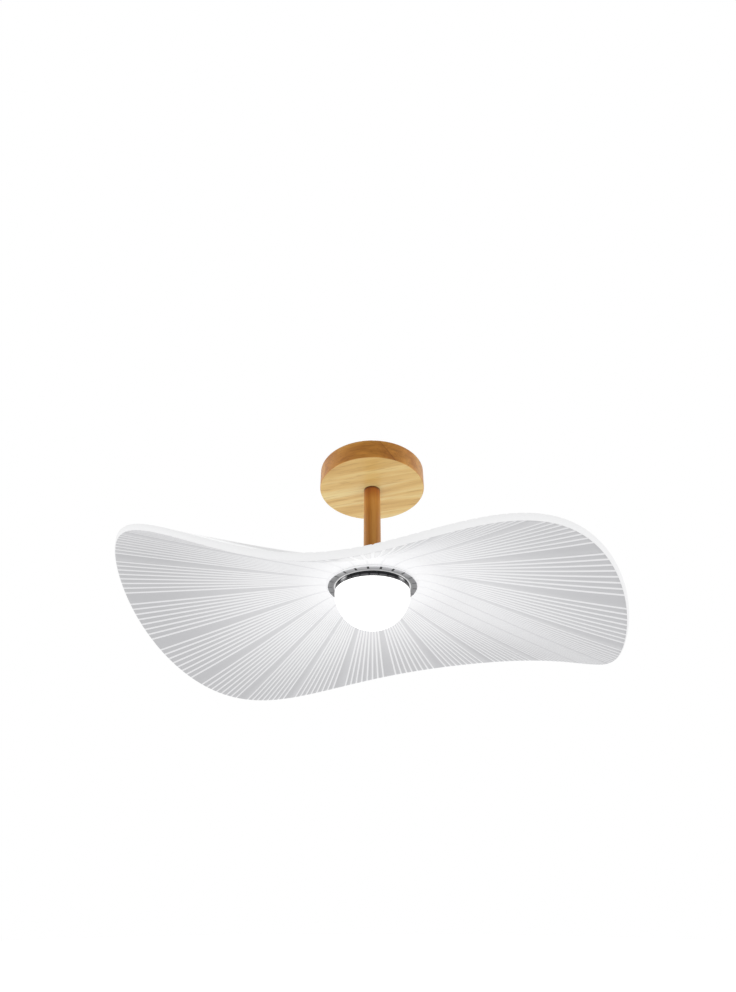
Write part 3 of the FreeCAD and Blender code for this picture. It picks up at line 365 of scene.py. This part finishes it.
def turned_metal(name, colour, roughness, pitch):
    """Metal with the fine rings that a lathe leaves."""
    finish = Finish(name, roughness=roughness, metallic=1.0)
    rings = finish.node("ShaderNodeTexNoise",
                        {"W": finish.radius(), "Scale": 1 / (pitch * MM), "Detail": 3.0},
                        noise_dimensions="1D").outputs["Fac"]
    shade = tuple(channel * 0.8 for channel in colour[:3]) + (1.0,)
    finish.colour(finish.mix(rings, colour, shade))
    finish.rough(rings, roughness * 0.7, roughness * 1.3)
    finish.bump(rings, 0.00004, 0.25)
    around = finish.node("ShaderNodeTangent", direction_type="RADIAL", axis="Z")
    finish.links.new(around.outputs["Tangent"], finish.shader.inputs["Tangent"])
    finish.shader.inputs["Anisotropic"].default_value = 0.8
    finish.shader.inputs["Anisotropic Rotation"].default_value = 0.25
    return finish.material


def near_share(finish):
    """Share of the painted light and shade on the trim ring's flange: one on its near side, fading to nought
    at its sides.
    """
    return finish.span(finish.along(FORWARDS), 1.0, 0.0, FLANGE_NEAR * MM, FLANGE_SIDE * MM)


def slot_shade(name):
    """Slot drawn as painted shade, darkest on the near side and paler at the sides of the ring."""
    finish = Finish(name, roughness=0.5)
    cloud = finish.noise(finish.place, 900.0)
    # Painted shade of the slot: dark on the near side, paler grey at the sides.
    tone = finish.mix(near_share(finish), rgb(120, 120, 123), rgb(26, 26, 30))
    finish.colour(finish.mix(finish.span(cloud, 0.0, 0.3), tone, rgb(14, 14, 16)))
    return finish.material


def ring_metal(name):
    """Satin flange round a polished neck, with a painted reflection on the neck, dark above and paler below,
    two painted highlights as bright streaks in front, the flange painted brighter on its near side, and a
    painted bright line inside and bright edge that also glow.
    """
    finish = Finish(name, roughness=0.3, metallic=1.0)
    radius = finish.radius()
    rings = finish.node("ShaderNodeTexNoise", {"W": radius, "Scale": 1200.0, "Detail": 3.0},
                        noise_dimensions="1D").outputs["Fac"]
    # Painted reflection on the neck: dark at its top, paler at its foot.
    low = finish.span(finish.along(UPWARDS), 0.0, 1.0, NECK_REFLECTION_START * MM, NECK_REFLECTION_END * MM)
    neck = finish.mix(low, rgb(58, 58, 60), rgb(118, 118, 119))
    # Painted highlight: a bright streak on each side of the neck in front.
    beside = finish.combine("ABSOLUTE", finish.along(ACROSS))
    off_neck_highlight = finish.combine("ABSOLUTE", finish.combine("SUBTRACT", beside, NECK_HIGHLIGHT_OFFSET * MM))
    neck_highlight = finish.span(off_neck_highlight, 1.0, 0.0, 0.0, HIGHLIGHT_WIDTH * MM)
    highlight_lower_part = finish.span(finish.along(UPWARDS), 0.0, 1.0, HIGHLIGHT_START * MM, HIGHLIGHT_END * MM)
    neck = finish.mix(finish.combine("MULTIPLY", neck_highlight, highlight_lower_part), neck, rgb(250, 250, 251))
    # Painted highlight: the flange is painted brighter on its near side than at its sides.
    flange = finish.mix(near_share(finish), rgb(160, 160, 162), rgb(226, 226, 229))
    flange = finish.mix(finish.span(rings, 0.0, 0.3), flange, rgb(120, 120, 123))
    # Painted highlights: a bright line at the flange's inner edge, and a bright outer edge.
    on_inner_highlight = finish.span(radius, 1.0, 0.0, INNER_HIGHLIGHT_FULL * MM, INNER_HIGHLIGHT_END * MM)
    flange = finish.mix(on_inner_highlight, flange, rgb(240, 240, 241))
    on_edge_highlight = finish.span(radius, 0.0, 1.0, EDGE_HIGHLIGHT_START * MM, EDGE_HIGHLIGHT_FULL * MM)
    flange = finish.mix(on_edge_highlight, flange, rgb(240, 240, 242))
    on_flange = finish.span(radius, 0.0, 1.0, FLANGE_START * MM, FLANGE_FULL * MM)
    # Painted glow on the metal, under both painted highlights.
    inner_highlight_glow = finish.span(finish.combine("MULTIPLY", on_inner_highlight, on_flange), 0.0, 0.2)
    finish.glow(finish.combine("ADD", finish.span(on_edge_highlight, 0.0, 0.12), inner_highlight_glow))
    finish.colour(finish.mix(on_flange, neck, flange))
    finish.rough(on_flange, 0.2, 0.45)
    finish.links.new(finish.span(on_flange, 1.0, 0.15), finish.shader.inputs["Metallic"])
    finish.bump(rings, 0.00003, 0.2)
    return finish.material


def two_tone(name, first, second, roughness, band):
    """Insulation with stripes along the lead."""
    finish = Finish(name, roughness=roughness)
    stripes = finish.node("ShaderNodeTexWave",
                          {"Vector": finish.place, "Scale": 1 / (band * MM), "Distortion": 0.5},
                          bands_direction="DIAGONAL").outputs["Fac"]
    finish.colour(finish.ramp(stripes, ((0.45, first), (0.55, second))))
    finish.bump(finish.noise(finish.place, 900.0), 0.00005, 0.2)
    return finish.material


def circuit(name, mask, track):
    """Solder-masked board with a faint pattern of tracks and pads."""
    finish = Finish(name, roughness=0.35)
    tracks = finish.node("ShaderNodeTexBrick", {"Vector": finish.place, "Scale": 110.0,
                                                "Color1": mask, "Color2": mask, "Mortar": track,
                                                "Mortar Size": 0.012, "Row Height": 0.35})
    finish.colour(tracks.outputs["Color"])
    finish.bump(tracks.outputs["Fac"], 0.00003, 0.4)
    finish.coat(0.4, 0.15)
    return finish.material


def opal(name):
    """Lit opal dome, a little dimmer towards its neck."""
    finish = Finish(name, roughness=0.3)
    finish.glow(finish.span(finish.along(UPWARDS), 1.3, 1.0, DOME_GLOW_LOW * MM, DOME_GLOW_HIGH * MM),
                WARM_WHITE)
    milk = finish.noise(finish.place, 60.0, detail=2.0)
    finish.colour(finish.mix(milk, rgb(250, 250, 248), rgb(240, 240, 240)))
    finish.coat(0.5, 0.08)
    return finish.material


ZINC = rgb(190, 193, 198)
FINISHES = {
    "canopy_wood": wood("canopy_wood", rgb(252, 227, 160), rgb(241, 203, 127), rgb(223, 178, 100), turn=15.0,
                        along=9.0, across=130.0, upright=False, local_tone=wall_tone),
    "stem_wood": wood("stem_wood", rgb(214, 150, 70), rgb(196, 128, 48), rgb(164, 96, 26), turn=0.0,
                      along=8.0, across=260.0, upright=True, local_tone=stem_tone),
    "opal": opal("opal"),
    "bright_metal": ring_metal("bright_metal"),
    "hub_metal": turned_metal("hub_metal", rgb(215, 216, 218), roughness=0.28, pitch=0.5),
    "zinc_steel": speckled("zinc_steel", ZINC, 0.35, metallic=1.0, scale=700.0, vary=0.25),
    "brass": speckled("brass", rgb(205, 170, 95), 0.3, metallic=1.0, scale=900.0, vary=0.2),
    "white_plastic": speckled("white_plastic", rgb(238, 238, 234), 0.45, scale=600.0, vary=0.05),
    "black_plastic": speckled("black_plastic", rgb(38, 38, 40), 0.5, scale=800.0, vary=0.2),
    "circuit_board": circuit("circuit_board", rgb(28, 92, 52), rgb(120, 160, 90)),
    "white_board": circuit("white_board", rgb(240, 240, 238), rgb(205, 206, 205)),
    "led_chip": speckled("led_chip", rgb(250, 232, 150), 0.3, scale=2000.0, vary=0.1, coat=0.6),
    "lead_white": speckled("lead_white", rgb(232, 232, 228), 0.4, scale=1200.0, vary=0.06),
    "lead_brown": speckled("lead_brown", rgb(110, 68, 42), 0.4, scale=1200.0, vary=0.15),
    "lead_earth": two_tone("lead_earth", rgb(60, 130, 50), rgb(215, 200, 60), roughness=0.4, band=9.0),
    "soft_rubber": speckled("soft_rubber", rgb(214, 214, 212), 0.55, scale=900.0, vary=0.08),
}
GROUND_TONE = rgb(149, 149, 153)
LINE_TONE = rgb(160, 160, 163)
ACRYLIC = (
    glowing("acrylic_ground", 0.54, 0.33, GROUND_TONE, roughness=0.3, gloss=0.05, halo=0.12),
    glowing("acrylic_lines", 0.68, 0.55, LINE_TONE, roughness=0.45, gloss=0.03, halo=0.08),
    glowing("acrylic_rim", 0.72, 0.72, rgb(132, 132, 134), roughness=0.3, gloss=0.0),
    glowing("acrylic_top_ground", 0.54, 0.33, GROUND_TONE, roughness=0.3, gloss=0.1, edge=0.34),
    glowing("acrylic_top_lines", 0.68, 0.55, LINE_TONE, roughness=0.45, gloss=0.1, edge=0.14),
)
GROUND, LINE, RIM, TOP_GROUND, TOP_LINE = range(len(ACRYLIC))
SLOT_SHADE_FINISH = slot_shade("slot_shade")


def add_piece(name, mesh, materials, body, slot, *replaced):
    """Put a mesh into the scene: its finishes, the body it rides with and the CAD nodes it stands for."""
    for material in materials:
        mesh.materials.append(material)
    piece = bpy.data.objects.new(name, mesh)
    bpy.context.scene.collection.objects.link(piece)
    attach(piece, body)
    if replaced:
        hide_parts(*replaced)
    return piece


def mesh_from(name, shape):
    """A mesh from a finished bmesh."""
    mesh = bpy.data.meshes.new(name)
    shape.to_mesh(mesh)
    shape.free()
    return mesh


def edge_height(angle):
    """Height of the disc's formed edge at angles in radians, from its flat middle, in millimetres."""
    height = np.full_like(angle, -EDGE_DROOP)
    for rise, crest, times in WAVE:
        height += rise * np.cos(times * (angle - math.radians(crest)))
    return height


def formed(angle, sheet_radius):
    """Radius, height and slope of the disc's underside at angles, at a distance along the sheet."""
    length = sheet_radius - DISC_FLAT
    reach = length / (DISC_RADIUS - DISC_FLAT)
    steps = max(1, round(FORMING_STEPS * reach))
    drop = edge_height(angle)
    radius = np.full_like(angle, DISC_FLAT)
    height = np.zeros_like(angle)
    slope = np.zeros_like(angle)
    for step in range(1, steps + 1):
        share = reach * step / steps
        bend = (1 + BEND_SHARE) * share ** 2 / (share + BEND_SHARE)
        next_height = drop * bend * (1 + EDGE_EASE * (1 - share))
        run = np.sqrt((length / steps) ** 2 - (next_height - height) ** 2)
        slope = np.arctan2(next_height - height, run)
        radius = radius + run
        height = next_height
    return radius, height, slope


def column_layout(sheet_radius):
    """Angle and groove depth of every column of the disc's mesh at one distance from the axis."""
    pitch = math.radians(LINE_PITCH)
    width = min(LINE_WIDTH, LINE_SHARE * pitch * sheet_radius)
    wall = width / 4
    deep = LINE_DEPTH if sheet_radius > LINE_START else 0.0
    angles = []
    depths = []
    for group in range(GROUPS):
        wedge = math.radians(FIRST_WEDGE + 360.0 * group / GROUPS)
        middle = wedge + math.pi / GROUPS
        angles.append(wedge)
        depths.append(0.0)
        for line in range(LINES):
            centre = middle + (line - (LINES - 1) / 2) * pitch
            for offset, depth in ((-width / 2, 0.0), (wall - width / 2, deep), (width / 2 - wall, deep),
                                  (width / 2, 0.0)):
                angles.append(centre + offset / sheet_radius)
                depths.append(depth)
    return np.array(angles), np.array(depths)


def disc_row(sheet_radius, lift, grooved):
    """Vertices of one ring of the disc's mesh, lifted through the sheet by some millimetres."""
    angles, depths = column_layout(sheet_radius)
    if sheet_radius <= DISC_FLAT:
        radius = np.full_like(angles, sheet_radius)
        height = np.zeros_like(angles)
        slope = np.zeros_like(angles)
    else:
        radius, height, slope = formed(angles, sheet_radius)
    through = lift + grooved * depths
    radius = radius - through * np.sin(slope)
    height = DISC_FOOT + height + through * np.cos(slope)
    return np.stack([radius * np.cos(angles), radius * np.sin(angles), height], axis=1) * MM


def disc_rows():
    """Rings of the disc's mesh: out along the underside, round the rim and back along the top."""
    step = ROW_STEP * (DISC_RADIUS - DISC_FLAT) / FORMING_STEPS
    outward = list(FLAT_ROWS)
    while outward[-1] + step < DISC_RADIUS - RIM_ROUND:
        outward.append(outward[-1] + step)
    outward.append(DISC_RADIUS - RIM_ROUND)
    rows = [disc_row(radius, 0.0, 1.0) for radius in outward]
    rows += [disc_row(DISC_RADIUS, lift, 0.0) for lift in RIM_LIFTS]
    rows += [disc_row(radius, DISC_SHEET, -1.0) for radius in reversed(outward)]
    return rows, len(outward)


def build_disc():
    """Acrylic disc with its engraved lines as shallow grooves in both faces."""
    rows, face_rows = disc_rows()
    columns = len(rows[0])
    faces = []
    kinds = []
    group_columns = columns // GROUPS
    for row in range(len(rows)):
        following = (row + 1) % len(rows)
        on_rim = face_rows - 1 <= row < face_rows + len(RIM_LIFTS)
        ground, line = (GROUND, LINE) if row < face_rows else (TOP_GROUND, TOP_LINE)
        for column in range(columns):
            beside = (column + 1) % columns
            faces.append((row * columns + column, following * columns + column,
                          following * columns + beside, row * columns + beside))
            place = column % group_columns
            in_line = place > 0 and place % LINE_CORNERS != 0
            kinds.append(RIM if on_rim else line if in_line else ground)
    mesh = bpy.data.meshes.new("wavy_disc")
    mesh.from_pydata(np.concatenate(rows).tolist(), [], faces)
    add_piece("wavy_disc", mesh, ACRYLIC, "fixture", "acrylic", "light_guide_disc")
    mesh.polygons.foreach_set("material_index", kinds)
    mesh.polygons.foreach_set("use_smooth", [True] * len(kinds))
    mesh.update()


def build_ring_slots():
    """Slots in the underside of the trim ring's flange, dark with painted shade."""
    slots = bmesh.new()
    place = Matrix.Translation((SLOT_RADIUS, 0, RING_FOOT - SLOT_PROUD + SLOT_DEPTH / 2))
    size = Matrix.Diagonal((SLOT_LENGTH, SLOT_WIDTH, SLOT_DEPTH, 1))
    for group in range(GROUPS):
        turn = Matrix.Rotation(math.radians(FIRST_WEDGE + 360.0 * group / GROUPS), 4, "Z")
        bmesh.ops.create_cube(slots, size=1.0, matrix=Matrix.Scale(MM, 4) @ turn @ place @ size)
    add_piece("ring_slots", mesh_from("ring_slots", slots), (SLOT_SHADE_FINISH,), "fixture", "black_plastic")


def head_of(island, outward):
    """Middle and radius of the flat end of a screw's head, which faces outward."""
    level = max(vertex.co.dot(outward) for vertex in island)
    rim = [vertex.co for vertex in island if level - vertex.co.dot(outward) < HEAD_FLATNESS * MM]
    middle = sum(rim, Vector()) / len(rim)
    return middle, max((place - middle).length for place in rim)


def islands_of(shape):
    """Groups of joined vertices of a bmesh, in the order of their first vertices."""
    seen = set()
    for first in shape.verts:
        if first in seen:
            continue
        seen.add(first)
        island = []
        waiting = [first]
        while waiting:
            vertex = waiting.pop()
            island.append(vertex)
            for edge in vertex.link_edges:
                beside = edge.other_vert(vertex)
                if beside not in seen:
                    seen.add(beside)
                    waiting.append(beside)
        yield island


def recessed_screws(node, slot, bars, outward=None):
    """A CAD node's screws again, with a slot or a cross let into each head.

    Without a direction, each head faces away from the lamp's axis along X.
    """
    screws = bmesh.new()
    screws.from_mesh(frame["nodes"][node].data)
    cutters = bmesh.new()
    recess = Matrix.Diagonal((RECESS_LENGTH, RECESS_WIDTH, RECESS_DEPTH, 1))
    for island in islands_of(screws):
        facing = outward or Vector((math.copysign(1.0, island[0].co.x), 0.0, 0.0))
        middle, radius = head_of(island, facing)
        place = Matrix.Translation(middle) @ facing.to_track_quat("Z", "Y").to_matrix().to_4x4()
        for bar in range(bars):
            turn = Matrix.Rotation(math.radians(RECESS_TURN + 90.0 * bar), 4, "Z")
            bmesh.ops.create_cube(cutters, size=1.0, matrix=place @ turn @ Matrix.Scale(radius, 4) @ recess)
    blank = bpy.data.objects.new(f"{node}_blank", mesh_from(f"{node}_blank", screws))
    cutter = bpy.data.objects.new(f"{node}_cutter", mesh_from(f"{node}_cutter", cutters))
    for helper in (blank, cutter):
        bpy.context.scene.collection.objects.link(helper)
    cut = blank.modifiers.new("recess", "BOOLEAN")
    cut.object = cutter
    cut.solver = "EXACT"
    cut.use_self = True
    finished = blank.evaluated_get(bpy.context.evaluated_depsgraph_get())
    mesh = bpy.data.meshes.new_from_object(finished)
    for helper in (blank, cutter):
        bpy.data.objects.remove(helper)
    mesh.materials.clear()
    add_piece(f"{node}_recessed", mesh, (FINISHES[slot],), "fixture", slot, node)


def build_screws():
    """Screw heads with their slots and crosses."""
    up = Vector(UPWARDS)
    recessed_screws("canopy_screws", "zinc_steel", 1)
    recessed_screws("lid_screws", "zinc_steel", 2, up)
    recessed_screws("terminal_fixings", "zinc_steel", 2, up)
    recessed_screws("terminal_screws", "brass", 1, up)
    recessed_screws("board_screws", "zinc_steel", 2, -up)
    recessed_screws("plate_screws", "zinc_steel", 2, -up)


def dress_nodes():
    """Give every carried-over CAD node the finish of its slot in the record."""
    for entry in frame["record"]["subparts"]:
        if entry["material_slot"] not in FINISHES:
            continue
        mesh = frame["nodes"][entry["node"]].data
        mesh.materials.clear()
        mesh.materials.append(FINISHES[entry["material_slot"]])


def build_stage():
    """Pale floor far below that fades to the white of the backdrop."""
    finish = Finish("floor", roughness=0.8)
    cloud = finish.noise(finish.place, 0.6)
    finish.colour(finish.ramp(cloud, ((0.3, rgb(238, 238, 238)), (0.7, rgb(244, 244, 244)))))
    finish.glow(finish.span(finish.radius(), 0.0, 1.0, FLOOR_FADE_START, FLOOR_FADE_END))
    bpy.ops.mesh.primitive_circle_add(vertices=96, radius=FLOOR_RADIUS, fill_type="NGON",
                                      location=(0, 0, FLOOR_LEVEL))
    floor = bpy.context.object
    floor.name = "floor"
    floor.data.materials.append(finish.material)


def build_light():
    """White surround, brighter behind and beside the lamp than in front of it, and two soft side lights."""
    world = bpy.data.worlds.new("studio")
    bpy.context.scene.world = world
    world.use_nodes = True
    nodes = world.node_tree.nodes
    links = world.node_tree.links
    direction = nodes.new("ShaderNodeTexCoord").outputs["Generated"]
    split = nodes.new("ShaderNodeSeparateXYZ")
    links.new(direction, split.inputs["Vector"])
    spread = nodes.new("ShaderNodeMapRange")
    spread.interpolation_type = "SMOOTHSTEP"
    for name, setting in SURROUND.items():
        spread.inputs[name].default_value = setting
    links.new(split.outputs["Y"], spread.inputs["Value"])
    seen = nodes.new("ShaderNodeLightPath").outputs["Is Camera Ray"]
    brightest = nodes.new("ShaderNodeMath")
    brightest.operation = "MAXIMUM"
    links.new(seen, brightest.inputs[0])
    links.new(spread.outputs["Result"], brightest.inputs[1])
    links.new(brightest.outputs["Value"], nodes["Background"].inputs["Strength"])
    nodes["Background"].inputs["Color"].default_value = WHITE
    for name, place in LIGHT_PLACES.items():
        light = bpy.data.lights.new(name, "AREA")
        light.size = LIGHT_SIZE
        light.energy = LIGHT_ENERGY
        lamp = bpy.data.objects.new(name, light)
        lamp.location = place
        towards = Vector(LIGHT_TARGET) - Vector(place)
        lamp.rotation_euler = towards.to_track_quat("-Z", "Y").to_euler()
        bpy.context.scene.collection.objects.link(lamp)


def build_camera():
    """Camera at the photograph's viewing angle."""
    camera = bpy.data.cameras.new("camera")
    camera.sensor_fit = "VERTICAL"
    camera.sensor_height = SENSOR_HEIGHT
    camera.lens = FOCAL_PIXELS / IMAGE_HEIGHT * SENSOR_HEIGHT
    camera.shift_y = (CENTRE_ROW - IMAGE_HEIGHT / 2) / IMAGE_HEIGHT
    camera.clip_start = 0.02
    camera.clip_end = 60.0
    viewer = bpy.data.objects.new("camera", camera)
    viewer.location = CAMERA_PLACE
    viewer.rotation_euler = (math.radians(90 + CAMERA_PITCH), 0, 0)
    bpy.context.scene.collection.objects.link(viewer)
    bpy.context.scene.camera = viewer
    bpy.context.scene.view_settings.view_transform = "Standard"


build_disc()
build_ring_slots()
dress_nodes()
build_screws()
build_stage()
build_light()
build_camera()
